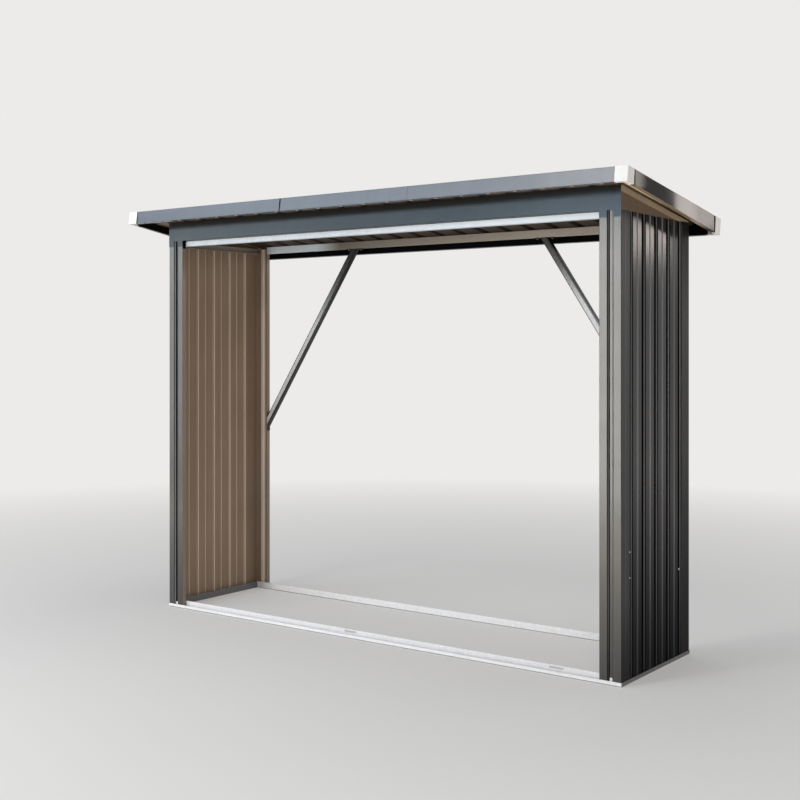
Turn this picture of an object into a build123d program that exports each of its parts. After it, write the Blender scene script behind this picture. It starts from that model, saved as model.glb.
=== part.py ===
from build123d import *
import math
import os

os.makedirs("parts", exist_ok=True)

# Log store of folded painted and galvanised sheet steel, millimetres.
# X runs along the front, Y into the depth (the open front faces -Y), Z up.
# The origin is on the ground, under the middle of the whole store.

# Overall frame
frame_width = 2300.0
frame_depth = 595.0
roof_overhang_side = 98.0
roof_overhang_front = 151.0
roof_overhang_back = 71.0
roof_pitch = 8.0

# Sheet thicknesses, clearances and folds
rail_sheet = 1.5
post_sheet = 1.2
panel_sheet = 1.0
trim_sheet = 1.0
cap_sheet = 1.5
fit_gap = 0.3
bend_radius = 2.0

# Base rail: a channel with a low outer lip and a taller inner web
rail_channel_width = 28.0
rail_lip_height = 15.0
rail_web_height = 31.0
rail_slot_length = 62.0
rail_slot_height = 9.0
rail_slot_centres = (-95.0, 874.0)

# Corner post: a wide face with a pressed groove, a side leg and a return
post_face = 87.0
post_side = 68.0
post_return = 21.0
groove_start = 31.0
groove_width = 25.0
groove_floor = 12.0
groove_depth = 9.0
groove_foot_height = 26.0

# Ring of channels at the top of the walls
ring_low = 1662.0
ring_high = 1686.5
ring_flange = 24.0
side_ring_flange = 22.0
back_beam_rise = 5.5

# Header board above the opening
header_flange = 40.0

# Wall sheets
wall_rib_start = 80.5
wall_rib_pitch = 106.5
wall_rib_mouth = 30.0
wall_rib_floor = 20.0
wall_rib_depth = 9.0
bead_mouth = 9.0
bead_depth = 2.5
wall_lap = 40.0

# Roof sheets
roof_rib_pitch = 115.0
roof_ribs_per_sheet = 4
roof_rib_base = 34.0
roof_rib_crown = 18.0
roof_rib_height = 16.0

# Roof edge trims and their corner caps; the side trims grow deeper to the back
fascia_drop = 35.0
fascia_drop_back = 45.0
fascia_return = 16.0
fascia_joint_offset = 326.0
cap_arm = 50.0
cap_slit = 2.2

# Braces between the back posts and the back beam
brace_width = 30.0
brace_depth = 20.0
brace_top_offset = 640.0
brace_foot_height = 830.0
brace_tab_length = 90.0
brace_hole = 7.0
brace_hole_edge = 9.0

half_width = frame_width / 2
roof_width = frame_width + 2 * roof_overhang_side
roof_depth = frame_depth + roof_overhang_front + roof_overhang_back
pitch_tan = math.tan(math.radians(roof_pitch))
pitch_cos = math.cos(math.radians(roof_pitch))
pitch_sin = math.sin(math.radians(roof_pitch))

# The trims clear the crown of a rib that covers another rib
lap_rise = panel_sheet + fit_gap
fascia_top = roof_rib_height + lap_rise + panel_sheet + fit_gap + trim_sheet

# The trims stand square to the roof, so their lean moves the store's middle
lean_shift = (fascia_drop - fascia_top) * pitch_sin / 2
roof_front_y = -roof_depth / 2 + lean_shift
front_y = roof_front_y + roof_overhang_front
back_y = front_y + frame_depth
middle_y = (front_y + back_y) / 2

# Upright planes across the four edges of the frame: x points inwards, y up
edge_planes = {
    "front": Plane(origin=(0, front_y, 0), x_dir=(0, 1, 0), z_dir=(1, 0, 0)),
    "back": Plane(origin=(0, back_y, 0), x_dir=(0, -1, 0), z_dir=(-1, 0, 0)),
    "left": Plane(origin=(-half_width, middle_y, 0), x_dir=(1, 0, 0), z_dir=(0, -1, 0)),
    "right": Plane(origin=(half_width, middle_y, 0), x_dir=(-1, 0, 0), z_dir=(0, 1, 0)),
}
sides = (("left", -1), ("right", 1))
ends = (("front", -1), ("back", 1))

# Insets from the outer edge of the frame
post_inset = rail_sheet + fit_gap
header_inset = post_inset - fit_gap - panel_sheet
ring_inset = post_inset + post_return + fit_gap
wall_inset = post_inset + post_sheet + fit_gap
side_ring_inset = wall_inset + wall_rib_depth + panel_sheet + fit_gap
opening_half = half_width - post_inset - post_face
foot_height = rail_sheet + fit_gap


def roof_height(y):
    """Height of the underside of the roof pans at depth y."""
    return ring_high + back_beam_rise + fit_gap + (back_y - y) * pitch_tan


def folded(points, thickness, side=Side.LEFT):
    """Closed section of a folded sheet; its outer face runs through the points."""
    FilletPolyline(*points, radius=bend_radius)
    offset(amount=thickness, side=side, kind=Kind.INTERSECTION)


def keep(piece, node):
    """Label a finished piece and write it under its node's name."""
    piece.part.label = node
    export_step(piece.part, f"parts/{node}.step")


# Base rails
def base_rail(edge, length, slot_centres):
    """Rail along one edge of the frame, mitred at both ends."""
    plane = edge_planes[edge]
    with BuildPart() as rail:
        with BuildSketch(plane):
            with BuildLine():
                folded(
                    [
                        (0, rail_lip_height),
                        (0, 0),
                        (rail_channel_width, 0),
                        (rail_channel_width, rail_web_height),
                    ],
                    rail_sheet,
                )
            make_face()
        extrude(amount=length / 2, both=True)
        for end in (-1, 1):
            corner = plane.from_local_coords((0, 0, end * (length / 2 - fit_gap)))
            mitre = Plane(origin=corner, z_dir=plane.z_dir * end + plane.x_dir)
            split(bisect_by=mitre, keep=Keep.BOTTOM)
        web = Plane(
            origin=plane.from_local_coords((rail_channel_width, 0, 0)),
            x_dir=plane.z_dir,
            z_dir=plane.x_dir * -1,
        )
        for centre in slot_centres:
            with BuildSketch(web):
                with Locations((centre, rail_web_height - rail_slot_height)):
                    SlotOverall(rail_slot_length, rail_slot_height)
            extrude(amount=2 * rail_sheet, both=True, mode=Mode.SUBTRACT)
    keep(rail, f"base_rail_{edge}")


base_rail("front", frame_width, rail_slot_centres)
base_rail("back", frame_width, ())
base_rail("left", frame_depth, ())
base_rail("right", frame_depth, ())


# Corner posts: their outer faces stand just inside the lip of the base rail
def corner_post(end_name, end, side_name, side):
    """Folded post in one corner; its groove is open at the foot."""
    slope = (groove_width - groove_floor) / 2
    turn = side * end
    corner = Plane(
        origin=(
            side * (half_width - post_inset),
            middle_y + end * (frame_depth / 2 - post_inset),
            foot_height,
        ),
        x_dir=(-side, 0, 0),
        z_dir=(0, 0, turn),
    )
    with BuildPart() as post:
        with BuildSketch(corner):
            with BuildLine():
                folded(
                    [
                        (0, post_side),
                        (0, 0),
                        (groove_start, 0),
                        (groove_start + slope, groove_depth),
                        (groove_start + slope + groove_floor, groove_depth),
                        (groove_start + groove_width, 0),
                        (post_face, 0),
                        (post_face, post_return),
                    ],
                    post_sheet,
                )
            make_face()
        extrude(amount=turn * (ring_high - foot_height))
        with BuildSketch(corner):
            with Locations((groove_start + groove_width / 2, groove_depth)):
                Rectangle(groove_floor, groove_depth)
        extrude(amount=turn * (groove_foot_height - foot_height), mode=Mode.SUBTRACT)
    keep(post, f"post_{end_name}_{side_name}")


for end_name, end in ends:
    for side_name, side in sides:
        corner_post(end_name, end, side_name, side)


# Side walls
def wall_points():
    """Outer face of the ribbed sheet, from its front edge to its back edge."""
    slope = (wall_rib_mouth - wall_rib_floor) / 2
    room = frame_depth - post_side - wall_rib_start
    rib_count = int(room // wall_rib_pitch) + 1
    points = [(post_side - wall_lap, 0)]
    for k in range(rib_count):
        centre = wall_rib_start + k * wall_rib_pitch
        points.append((centre - wall_rib_mouth / 2, 0))
        points.append((centre - wall_rib_mouth / 2 + slope, wall_rib_depth))
        points.append((centre + wall_rib_mouth / 2 - slope, wall_rib_depth))
        points.append((centre + wall_rib_mouth / 2, 0))
        if k < rib_count - 1:
            bead = centre + wall_rib_pitch / 2
            points.append((bead - bead_mouth / 2, 0))
            points.append((bead, bead_depth))
            points.append((bead + bead_mouth / 2, 0))
    points.append((frame_depth - post_side + wall_lap, 0))
    return points


def wall_sheet(side_name, side):
    """Ribbed wall sheet standing in the side rail, lapped behind both posts."""
    foot = Plane(
        origin=(side * (half_width - wall_inset), front_y, foot_height),
        x_dir=(0, 1, 0),
        z_dir=(0, 0, side),
    )
    with BuildPart() as sheet:
        with BuildSketch(foot):
            with BuildLine():
                folded(wall_points(), panel_sheet)
            make_face()
        extrude(amount=side * (ring_high - foot_height))
    keep(sheet, f"wall_sheet_{side_name}")


for side_name, side in sides:
    wall_sheet(side_name, side)


# Ring of channels at the top of the walls
def ring_section(inset, flange):
    """Channel with its web outwards and its flanges inwards."""
    folded(
        [
            (inset + flange, ring_high),
            (inset, ring_high),
            (inset, ring_low),
            (inset + flange, ring_low),
        ],
        rail_sheet,
    )


def front_beam():
    """Channel behind the returns of the front posts, from wall to wall."""
    with BuildPart() as beam:
        with BuildSketch(edge_planes["front"]):
            with BuildLine():
                ring_section(ring_inset, ring_flange)
            make_face()
        extrude(amount=half_width - side_ring_inset, both=True)
    keep(beam, "top_beam_front")


def side_beam(side_name, side):
    """Channel against the floors of the wall's ribs."""
    start = front_y + ring_inset + ring_flange + fit_gap
    end = back_y - post_inset - groove_depth - post_sheet - fit_gap
    section = Plane(
        origin=(side * half_width, start, 0),
        x_dir=(-side, 0, 0),
        z_dir=(0, side, 0),
    )
    with BuildPart() as beam:
        with BuildSketch(section):
            with BuildLine():
                ring_section(side_ring_inset, side_ring_flange)
            make_face()
        extrude(amount=side * (end - start))
    keep(beam, f"top_beam_{side_name}")


def back_beam():
    """Channel between the back posts, its top flange sloped with the roof."""
    web = post_inset + post_return
    with BuildPart() as beam:
        with BuildSketch(edge_planes["back"]):
            with BuildLine():
                folded(
                    [
                        (post_inset, roof_height(back_y - post_inset) - fit_gap),
                        (web, roof_height(back_y - web) - fit_gap),
                        (web, ring_low),
                        (post_inset, ring_low),
                    ],
                    rail_sheet,
                    Side.RIGHT,
                )
            make_face()
        extrude(amount=opening_half - fit_gap, both=True)
    keep(beam, "top_beam_back")


front_beam()
back_beam()
for side_name, side in sides:
    side_beam(side_name, side)


# Header board and gable plates
gable_inner = half_width - wall_inset - panel_sheet - fit_gap


def header_board():
    """Board over the opening, folded top and bottom, with a tab on each post."""
    inner = header_inset + header_flange
    top = roof_height(front_y + header_inset) - fit_gap
    inner_top = roof_height(front_y + inner) - fit_gap
    low = ring_high + fit_gap
    section = edge_planes["front"]
    with BuildPart() as board:
        with BuildSketch(section):
            with BuildLine():
                folded(
                    [(inner, inner_top), (header_inset, top), (header_inset, low), (inner, low)],
                    panel_sheet,
                )
            make_face()
        extrude(amount=opening_half, both=True)
        for side in (-1, 1):
            with BuildSketch(section.offset(side * opening_half)):
                with BuildLine():
                    folded(
                        [(inner, inner_top), (header_inset, top), (header_inset, ring_low)],
                        panel_sheet,
                    )
                make_face()
            extrude(amount=side * (gable_inner - opening_half))
            with BuildSketch(section.offset(side * gable_inner)):
                with Locations((header_inset, ring_low)):
                    Rectangle(panel_sheet, top - ring_low, align=(Align.MIN, Align.MIN))
            extrude(amount=side * (half_width - post_inset - gable_inner))
        groove_x = half_width - post_inset - groove_start - groove_width / 2
        with BuildSketch(Plane.XZ.offset(-front_y)):
            with Locations((-groove_x, ring_low), (groove_x, ring_low)):
                Rectangle(groove_width, 2 * (low - ring_low))
        extrude(amount=-(header_inset + panel_sheet), mode=Mode.SUBTRACT)
    keep(board, "header_board")


def gable_plate(side_name, side):
    """Tapered plate between a wall's top and the roof, flanged on both edges."""
    start = front_y + header_inset + panel_sheet + fit_gap
    end = back_y - post_inset
    low = ring_high + fit_gap
    start_high = roof_height(start) - fit_gap
    end_high = roof_height(end) - fit_gap
    flange_start = start + header_flange
    flange_start_high = roof_height(flange_start) - fit_gap
    flange_width = side_ring_inset + side_ring_flange - wall_inset
    outer = Plane.YZ.offset(side * (half_width - wall_inset))
    with BuildPart() as plate:
        with BuildSketch(outer):
            with BuildLine():
                Polyline((start, low), (start, start_high), (end, end_high), (end, low), close=True)
            make_face()
        extrude(amount=-side * panel_sheet)
        with BuildSketch(outer):
            with BuildLine():
                Polyline(
                    (flange_start, low),
                    (flange_start, low + panel_sheet),
                    (end, low + panel_sheet),
                    (end, low),
                    close=True,
                )
            make_face()
            with BuildLine():
                Polyline(
                    (flange_start, flange_start_high),
                    (flange_start, flange_start_high - panel_sheet),
                    (end, end_high - panel_sheet),
                    (end, end_high),
                    close=True,
                )
            make_face()
        extrude(amount=-side * flange_width)
    keep(plate, f"gable_plate_{side_name}")


header_board()
for side_name, side in sides:
    gable_plate(side_name, side)


# Braces between the back posts and the back beam
def back_brace(side_name, side):
    """Channel with its web to the front, and a bolting tab at each end."""
    foot_x = opening_half - fit_gap
    head_x = half_width - brace_top_offset
    head_z = ring_low - fit_gap
    lean = math.atan2(foot_x - head_x, head_z - brace_foot_height)
    centre_y = back_y - post_inset - post_return / 2
    reach = (head_z - brace_foot_height) / math.cos(lean) + 2 * brace_width
    hole_offset = brace_tab_length / 2 - brace_hole_edge
    middle = Plane(
        origin=(side * (foot_x + head_x) / 2, centre_y, (head_z + brace_foot_height) / 2),
        x_dir=(0, 1, 0),
        z_dir=(-side * math.sin(lean), 0, math.cos(lean)),
    )
    under_beam = Plane(origin=(side * head_x, centre_y, head_z), x_dir=(1, 0, 0), z_dir=(0, 0, 1))
    beside_post = Plane(
        origin=(side * foot_x, centre_y, brace_foot_height),
        x_dir=(0, 0, 1),
        z_dir=(side, 0, 0),
    )
    with BuildPart() as brace:
        with BuildSketch(middle):
            with BuildLine():
                folded(
                    [
                        (brace_depth / 2, brace_width / 2),
                        (-brace_depth / 2, brace_width / 2),
                        (-brace_depth / 2, -brace_width / 2),
                        (brace_depth / 2, -brace_width / 2),
                    ],
                    rail_sheet,
                )
            make_face()
        extrude(amount=reach / 2, both=True)
        for seat in (under_beam, beside_post):
            split(bisect_by=seat, keep=Keep.BOTTOM)
        for seat in (under_beam, beside_post):
            with BuildSketch(seat):
                Rectangle(brace_tab_length, brace_depth)
                with Locations((-hole_offset, 0), (hole_offset, 0)):
                    Circle(brace_hole / 2, mode=Mode.SUBTRACT)
            extrude(amount=-rail_sheet)
    keep(brace, f"back_brace_{side_name}")


for side_name, side in sides:
    back_brace(side_name, side)


# Roof: everything is placed from the plane of the sheets' underside
roof_length = roof_depth / pitch_cos
roof_plane = Plane(
    origin=(0, roof_front_y, roof_height(roof_front_y)),
    x_dir=(1, 0, 0),
    z_dir=(0, pitch_sin, pitch_cos),
)
down_slope = roof_plane.y_dir
roof_inset = cap_sheet + fit_gap
span_count = int(frame_width // roof_rib_pitch)


def rib_points(centre, grow):
    """Corners of one roof rib; grow lifts it over the rib that it covers."""
    return [
        (centre - roof_rib_base / 2 - grow, 0),
        (centre - roof_rib_crown / 2 - grow, roof_rib_height + grow),
        (centre + roof_rib_crown / 2 + grow, roof_rib_height + grow),
        (centre + roof_rib_base / 2 + grow, 0),
    ]


def roof_sheet(first_span):
    """Ribbed sheet; its right edge rib covers the next sheet's left rib."""
    last_span = min(first_span + roof_ribs_per_sheet, span_count)
    centres = [(k - span_count / 2) * roof_rib_pitch for k in range(first_span, last_span + 1)]
    points = rib_points(centres[0], 0)
    if first_span == 0:
        points.insert(0, (-roof_width / 2 + roof_inset, 0))
    else:
        points.pop(0)
    for centre in centres[1:-1]:
        points.extend(rib_points(centre, 0))
    if last_span == span_count:
        points.extend(rib_points(centres[-1], 0))
        points.append((roof_width / 2 - roof_inset, 0))
    else:
        points.extend(rib_points(centres[-1], lap_rise)[:3])
    section = Plane(
        origin=roof_plane.from_local_coords((0, roof_inset, 0)),
        x_dir=roof_plane.x_dir,
        z_dir=down_slope * -1,
    )
    with BuildPart() as sheet:
        with BuildSketch(section):
            with BuildLine():
                folded(points, panel_sheet)
            make_face()
        extrude(amount=-(roof_length - 2 * roof_inset))
    keep(sheet, f"roof_sheet_{first_span // roof_ribs_per_sheet + 1}")


for first_span in range(0, span_count, roof_ribs_per_sheet):
    roof_sheet(first_span)


# Roof edge trims
def roof_edge(x, y, inward):
    """Plane across a roof edge: x points inwards over the roof, y off the roof."""
    return Plane(
        origin=roof_plane.from_local_coords((x, y, 0)),
        x_dir=inward,
        z_dir=inward.cross(roof_plane.z_dir),
    )


def trim_section(drop):
    """Section of a trim: an upright face with a return above and below."""
    folded(
        [
            (fascia_return, fascia_top),
            (0, fascia_top),
            (0, -drop),
            (fascia_return, -drop),
        ],
        trim_sheet,
    )


def edge_trim(node, section, start, end, drop):
    """Straight trim from start to end along its edge."""
    with BuildPart() as trim:
        with BuildSketch(section.offset(start)):
            with BuildLine():
                trim_section(drop)
            make_face()
        extrude(amount=end - start)
    keep(trim, node)


def side_trim(side_name, side):
    """Trim down the slope, tapered so that it meets the deeper trim at the back."""
    half = roof_length / 2 - cap_arm - cap_slit
    section = roof_edge(side * roof_width / 2, roof_length / 2, roof_plane.x_dir * -side)
    with BuildPart() as trim:
        for offset, drop in ((-side * half, fascia_drop), (side * half, fascia_drop_back)):
            with BuildSketch(section.offset(offset)):
                with BuildLine():
                    trim_section(drop)
                make_face()
        loft(ruled=True)
    keep(trim, f"fascia_{side_name}")


trim_end = roof_width / 2 - cap_arm
front_edge = roof_edge(0, 0, down_slope)
back_edge = roof_edge(0, roof_length, down_slope * -1)
for end_name, section, turn, drop in (
    ("front", front_edge, 1, fascia_drop),
    ("back", back_edge, -1, fascia_drop_back),
):
    edge_trim(f"fascia_{end_name}_middle", section, -fascia_joint_offset, fascia_joint_offset, drop)
    for side_name, side in sides:
        edge_trim(
            f"fascia_{end_name}_{side_name}",
            section,
            side * turn * (fascia_joint_offset + fit_gap),
            side * turn * trim_end,
            drop,
        )

for side_name, side in sides:
    side_trim(side_name, side)


# Moulded corner caps
def cap_outline(width):
    """Two arms of the given width along the edges that meet in the corner."""
    reach = cap_arm - fit_gap
    Rectangle(reach, reach, align=(Align.MIN, Align.MIN))
    with Locations((width, width)):
        Rectangle(reach, reach, align=(Align.MIN, Align.MIN), mode=Mode.SUBTRACT)


def corner_cap(end_name, end, side_name, side):
    """Cap joining two trims: a corner wall with a return above and below."""
    turn = side * end
    along, drop = (0, fascia_drop) if end < 0 else (roof_length, fascia_drop_back)
    corner = Plane(
        origin=roof_plane.from_local_coords((side * roof_width / 2, along, 0)),
        x_dir=roof_plane.x_dir * -side,
        z_dir=roof_plane.z_dir * turn,
    )
    foot = -turn * drop
    head = turn * fascia_top
    with BuildPart() as cap:
        with BuildSketch(corner.offset(foot)):
            cap_outline(cap_sheet)
        extrude(amount=head - foot)
        with BuildSketch(corner.offset(foot)):
            cap_outline(fascia_return)
        extrude(amount=turn * trim_sheet)
        with BuildSketch(corner.offset(head)):
            cap_outline(fascia_return)
        extrude(amount=-turn * trim_sheet)
    keep(cap, f"corner_cap_{end_name}_{side_name}")


for end_name, end in ends:
    for side_name, side in sides:
        corner_cap(end_name, end, side_name, side)
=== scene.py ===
import math
import random

import bmesh
import bpy
from mathutils import Matrix, Vector


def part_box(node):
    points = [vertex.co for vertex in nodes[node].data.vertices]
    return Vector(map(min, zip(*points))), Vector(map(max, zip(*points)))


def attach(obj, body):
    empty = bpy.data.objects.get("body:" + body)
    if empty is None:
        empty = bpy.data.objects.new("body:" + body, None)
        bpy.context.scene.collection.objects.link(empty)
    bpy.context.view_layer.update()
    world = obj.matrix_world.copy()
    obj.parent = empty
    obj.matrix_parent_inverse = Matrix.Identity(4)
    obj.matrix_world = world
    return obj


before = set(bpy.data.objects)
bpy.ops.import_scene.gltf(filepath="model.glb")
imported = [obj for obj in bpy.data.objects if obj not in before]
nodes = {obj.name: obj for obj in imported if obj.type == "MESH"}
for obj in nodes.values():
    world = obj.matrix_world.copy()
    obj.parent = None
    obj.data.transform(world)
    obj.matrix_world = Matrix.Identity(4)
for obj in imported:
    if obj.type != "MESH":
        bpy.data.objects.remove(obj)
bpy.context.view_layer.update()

random.seed(7)

# Camera, in metres and degrees
CAMERA_PLACE = (3.0916, -4.2097, 1.2035)
CAMERA_YAW = 36.37
CAMERA_LENS = 55.34
CAMERA_SHIFT_Y = -0.0672
SENSOR = 36.0
CLIP_END = 200

# Colours of the coated steel, linear
ANTHRACITE = (0.050, 0.050, 0.050)
WALL_COAT = (0.0285, 0.028, 0.0275)
# Painted shade: a darker coat for the side legs of the posts than for their fronts
POST_SIDE_SHADE = (0.017, 0.0165, 0.0165)
# Painted shade: the side trims get a far darker coat than the front and back trims
SIDE_TRIM_SHADED_COAT = (0.014, 0.013, 0.012)
# Partly a darker paint and partly painted shade: the header coat is near black, for the shade under the
# roof's overhang
HEADER_COAT_AND_SHADE = (0.020, 0.0185, 0.016)
# Painted sky light: the front and back trims get a lighter, bluer coat than the other anthracite, for the
# light from above on their up-tilted faces
TRIM_SKY_LIT_COAT = (0.075, 0.090, 0.112)
# Painted bounce light: the gable plates get a warm brown coat for the light thrown up from the ground
GABLE_BOUNCE_LIT_COAT = (0.150, 0.115, 0.082)
# Partly real and partly painted light: the lighter backing coat of the inner sides, made lighter and warmer
# for warm light bounced into the store
BACK_COAT_WITH_BOUNCE = (0.352, 0.247, 0.168)
WALL_BACK_WITH_BOUNCE = (0.412, 0.292, 0.203)
# Partly real and partly painted shade: the backing coat under the roof, made darker inside the store
ROOF_BACK_SHADED = (0.150, 0.102, 0.068)
# Painted bounce light: a bright warm coat under the side eaves of the roof
EAVES_BOUNCE_LIGHT = (0.90, 0.76, 0.58)
# Painted bounce light: a warm coat on the downward faces of the side trims
RETURN_BOUNCE_LIGHT = (0.28, 0.22, 0.14)

# Tints of the reflection on painted sheet; the blue tint on the header paints in the colour of a reflected
# sky
PLAIN_SHEEN = (1.0, 1.0, 1.0)
HEADER_SKY_TINT = (0.58, 0.79, 1.0)
NO_SHEEN = (0.0, 0.0, 0.0)

# Colours of the marks, linear
# Painted highlight on the fold edges of the inner walls and in the post grooves
FOLD_HIGHLIGHT = (0.97, 0.85, 0.73)
# Painted shade: dark in folds, gaps and corners, on inner sides, and towards feet and rear ends; it also
# takes the gloss away
PAINTED_SHADE = (0.006, 0.006, 0.007)
# Painted highlight on the outer flanks of the wall ribs and the edges of the beads
FLANK_HIGHLIGHT = (0.150, 0.160, 0.176)
# Painted highlights in the groove of the posts and along their side legs
GROOVE_HIGHLIGHT = (0.30, 0.30, 0.31)
LEG_HIGHLIGHT = (0.10, 0.10, 0.10)
WALL_SHADE = (0.008, 0.008, 0.009)
BRACE_SHADE = (0.045, 0.042, 0.040)
# Painted light on the head of the gable plates, and a painted highlight along their fold
GABLE_HEAD_LIT = (0.370, 0.305, 0.225)
GABLE_FOLD_HIGHLIGHT = (0.38, 0.29, 0.18)
# Painted reflection of bright ground: a light band at mid height on the posts
GROUND_REFLECTION = (0.315, 0.288, 0.242)
GROUND_DIRT = (0.085, 0.072, 0.060)
DUST = (0.30, 0.27, 0.23)

# Colours of the galvanised steel, linear, each with its dark flakes
RAIL_ZINC = (0.85, 0.852, 0.872)
RAIL_ZINC_DARK = (0.72, 0.73, 0.76)
# Painted shade: the side rails get a much darker copy of the rail zinc
SIDE_RAIL_SHADED_ZINC = (0.205, 0.192, 0.194)
SIDE_RAIL_SHADED_ZINC_DARK = (0.13, 0.122, 0.122)
BEAM_ZINC = (0.515, 0.565, 0.605)
BEAM_ZINC_DARK = (0.40, 0.42, 0.44)
# Painted warm reflection: the side and rear channels get a brown-tinted zinc
SIDE_BEAM_WARM_LIT_ZINC = (0.46, 0.405, 0.34)
SIDE_BEAM_WARM_LIT_ZINC_DARK = (0.38, 0.335, 0.28)
BACK_BEAM_WARM_LIT_ZINC = (0.43, 0.375, 0.31)
BACK_BEAM_WARM_LIT_ZINC_DARK = (0.35, 0.31, 0.255)
BRACE_ZINC = (0.58, 0.59, 0.60)
BRACE_ZINC_DARK = (0.48, 0.50, 0.52)
SCREW_ZINC = (0.62, 0.63, 0.64)
SCREW_ZINC_DARK = (0.52, 0.54, 0.55)
CLIP_GREY = (0.21, 0.185, 0.155)
CLIP_GREY_DARK = (0.15, 0.13, 0.11)
# Painted reflections on the rear channel: dark and warm, and blue at its left end
DARK_WARM_REFLECTION = (0.195, 0.172, 0.138)
BLUE_REFLECTION = (0.72, 0.81, 0.86)
LIGHTER_ZINC = (0.565, 0.617, 0.658)

# Corner caps, dark strips of painted shadow in the trim joints, floor and backdrop: linear colours and
# plain values
CAP_WHITE = (0.86, 0.86, 0.85)
CAP_DIRT = (0.70, 0.69, 0.66)
CAP_SPECULAR = 0.25
JOINT_SHADOW = (0.012, 0.014, 0.018)
FLOOR_PALE = (0.74, 0.73, 0.715)
FLOOR_ROUGHNESS = 0.8
FLOOR_SPECULAR = 0.1
BACKDROP = (0.84, 0.83, 0.815)
SKY_FILL = (0.93, 0.96, 1.0)
SKY_FILL_STRENGTH = 0.335

# Noise of the surfaces: scale, detail, and a ramp from two noise values to two strengths
MOTTLE = (5.0, 4.0, (0.3, 0.7, 0.95, 1.05))
RAIN_STREAKS = (38.0, 3.0, (0.35, 0.7, 1.0, 0.93))
RAIN_STRETCH = (1, 1, 0.03)
SPLASHES = (26.0, 6.0, (0.40, 0.75, 0.35, 1.0))
SPLASH_STRETCH = (1, 1, 0.6)
SPLASH_FINENESS = 0.65
SETTLED_DUST = (9.0, 5.0, (0.3, 0.75, 0.2, 1.0))
RAIL_SOIL = (60.0, 5.0, (0.35, 0.7, 0.0, 1.0))
CAP_STAIN = (30.0, 5.0, (0.35, 0.7, 0.0, 0.22))
CAP_GLOSS = (80.0, 3.0, (0.3, 0.7, 0.42, 0.55))
SPANGLE_SCALE = 95.0

# Noise of the roughness and of dull patches: scale and detail, noise values, and the spread
PAINT_GLOSS = (14.0, 4.0)
PAINT_GLOSS_VALUES = (0.3, 0.7)
PAINT_GLOSS_SPREAD = (-0.01, 0.015)
DULL_PATCHES = (12.0, 5.0)
DULL_VALUES = (0.5, 0.8)
DULL_FINENESS = 0.6
FLAKE_GLOSS_SPREAD = (-0.03, 0.04)
FLAKE_DEPTH = 0.5

# Bump layers: scale and detail of the noise, strength and distance
SHEET_WAVES = (2.2, 2.0, 0.02, 0.003)
PAINT_GRAIN = (700.0, 2.0, 0.02, 0.0003)
ZINC_GRAIN = (240.0, 3.0, 0.04, 0.0003)
ZINC_STRETCH = (0.15, 1, 1)
PLASTIC_GRAIN = (1400.0, 2.0, 0.12, 0.0002)

# Ramps along a height or a face direction: from, to, strength at each end
SPLASH_HEIGHT = (0.0, 0.35, 1.0, 0.0)
DUST_ON_TOP = (0.7, 1.0, 0.0, 0.30)
# Painted reflection band on the posts: where it rises and falls with height
REFLECTION_RISE = (0.02, 0.46, 0.0, 1.0)
REFLECTION_FALL = (0.46, 0.86, 1.0, 0.0)
# Painted shade: darker towards the foot of the walls, at both ends of the post legs, and at the upper end
# of the braces
WALL_FOOT = (0.02, 0.78, 0.63, 0.0)
FRONT_LEG_FOOT = (0.02, 0.30, 0.82, 0.40)
FRONT_LEG_HEAD = (1.25, 1.60, 0.40, 0.44)
REAR_LEG_FOOT = (0.02, 0.80, 0.88, 0.50)
REAR_LEG_HEAD = (1.30, 1.58, 0.52, 0.70)
BRACE_HEAD = (1.30, 1.55, 0.0, 0.90)

# Ramps across the store, from left to right, and along its depth, from front to back
# Painted reflection band on the posts, weaker on the left
REFLECTION_ACROSS = (-1.0, 1.0, 0.72, 1.0)
# Painted bounce light under the eaves, weaker on the left
EAVES_ACROSS = (-1.0, 1.0, 0.25, 1.0)
# Painted reflections along the rear channel
BACK_BEAM_DARK_REFLECTION = (-0.55, 0.55, 1.0, 0.0)
BACK_BEAM_BLUE_REFLECTION = (-0.74, -0.60, 1.0, 0.0)
FRONT_BEAM_LIGHTER = (-0.10, 0.60, 0.0, 1.0)
# Painted shade towards the rear of the walls, the lower returns, the side trims and the roof, and on the
# last bay of the walls
WALL_REAR = (-0.15, 0.28, 0.0, 0.38)
WALL_LAST_BAY = (0.13, 0.21, 0.0, 0.20)
RETURN_REAR = (0.21, 0.30, 0.0, 0.64)
SIDE_TRIM_REAR = (0.10, 0.20, 0.0, 0.16)
ROOF_REAR = (-0.10, 0.30, 0.0, 0.66)

# Folds of the side walls, in metres from the middle of a rib or a bead
FIRST_RIB_Y = -0.1759
RIB_STEP = 0.1065
RIB_MOUTH = 0.016
RIB_FLOOR = 0.0093
LAST_FOLD_Y = 0.280
FOLD_RIM = 0.0022
RIB_CREST = (-RIB_FLOOR - 0.0024, -RIB_FLOOR + 0.0006)
RIB_SLOPE = (-RIB_MOUTH, -RIB_FLOOR)
RIB_FLANK = (RIB_FLOOR + FOLD_RIM, RIB_MOUTH - FOLD_RIM)
RIB_LIP = (RIB_MOUTH - FOLD_RIM, RIB_MOUTH + 0.0020)
BEAD_CREST = (-0.0110, -0.0068)
BEAD_EDGE = (-0.0010, 0.0085)

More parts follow.
